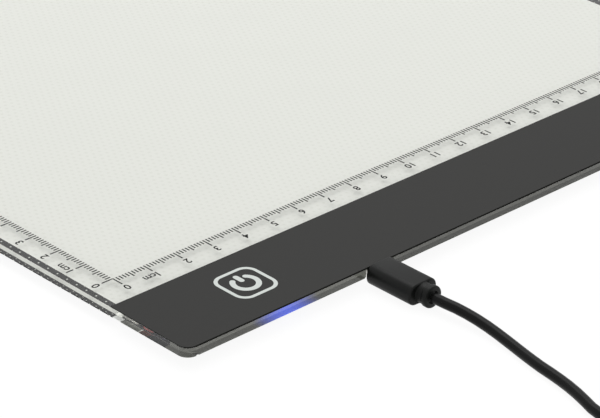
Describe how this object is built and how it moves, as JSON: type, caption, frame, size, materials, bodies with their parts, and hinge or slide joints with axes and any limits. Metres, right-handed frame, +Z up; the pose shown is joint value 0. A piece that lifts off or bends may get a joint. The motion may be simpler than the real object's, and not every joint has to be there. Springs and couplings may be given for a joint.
{
  "type": "led tracing pad",
  "caption": "Flat LED tracing pad: clear acrylic light guide with printed rulers, dark touch control band and a USB lead that unplugs, its spare cord coiled and tied.",
  "frame": {"origin": "on the table under the middle of the pad", "axes": "+X across the pad to the right, +Y along the pad away from the control band, +Z up"},
  "size_m": [0.235, 0.5245, 0.0147],
  "materials": {
    "acrylic": "polished, clear",
    "dark_film": "fine matte print",
    "black_tape": "matte",
    "white_sheet": "matte white",
    "cover_plastic": "fine grain",
    "foot_rubber": "matte",
    "white_board": "solder resist, satin",
    "green_board": "solder resist, satin",
    "blue_led": "clear lens, lit blue",
    "chip_black": "moulded, matte",
    "copper_foil": "soft foil",
    "ferrite": "matte",
    "ceramic_tan": "matte",
    "red_sleeve": "satin",
    "black_sleeve": "satin",
    "bright_steel": "bright nickel plate",
    "black_insert": "moulded, matte",
    "white_insert": "moulded, matte",
    "black_pvc": "soft satin"
  },
  "bodies": {
    "pad": {"light_guide_plate": "acrylic", "control_film": "dark_film", "reflector_sheet": "white_sheet", "border_tape_left": "black_tape", "border_tape_right": "black_tape", "border_tape_back": "black_tape", "border_tape_front_left": "black_tape", "border_tape_front_right": "black_tape", "rear_cover": "cover_plastic", "foot_front_left": "foot_rubber", "foot_front_right": "foot_rubber", "foot_back_left": "foot_rubber", "foot_back_right": "foot_rubber", "led_board": "white_board", "driver_board": "green_board", "touch_pad": "copper_foil", "touch_chip": "chip_black", "led_driver_chip": "chip_black", "power_inductor": "ferrite", "capacitor_1": "ceramic_tan", "capacitor_2": "ceramic_tan", "capacitor_3": "ceramic_tan", "resistor_1": "chip_black", "resistor_2": "chip_black", "resistor_3": "chip_black", "resistor_4": "chip_black", "indicator_led": "blue_led", "red_wire": "red_sleeve", "black_wire": "black_sleeve", "usb_socket_shell": "bright_steel", "usb_socket_tongue": "black_insert"},
    "lead": {"plug_shell": "bright_steel", "plug_insert": "black_insert", "plug_overmould": "black_pvc", "cord_run": "black_pvc", "cord_coil": "black_pvc", "cord_tail": "black_pvc", "coil_tie": "black_pvc", "usb_a_overmould": "black_pvc", "usb_a_shell": "bright_steel", "usb_a_insert": "white_insert"}
  },
  "joints": [
    {"name": "plug_slide", "type": "slide", "parent": "pad", "child": "lead", "axis": [0, -1, 0], "range_m": [0, 0.007]}
  ]
}
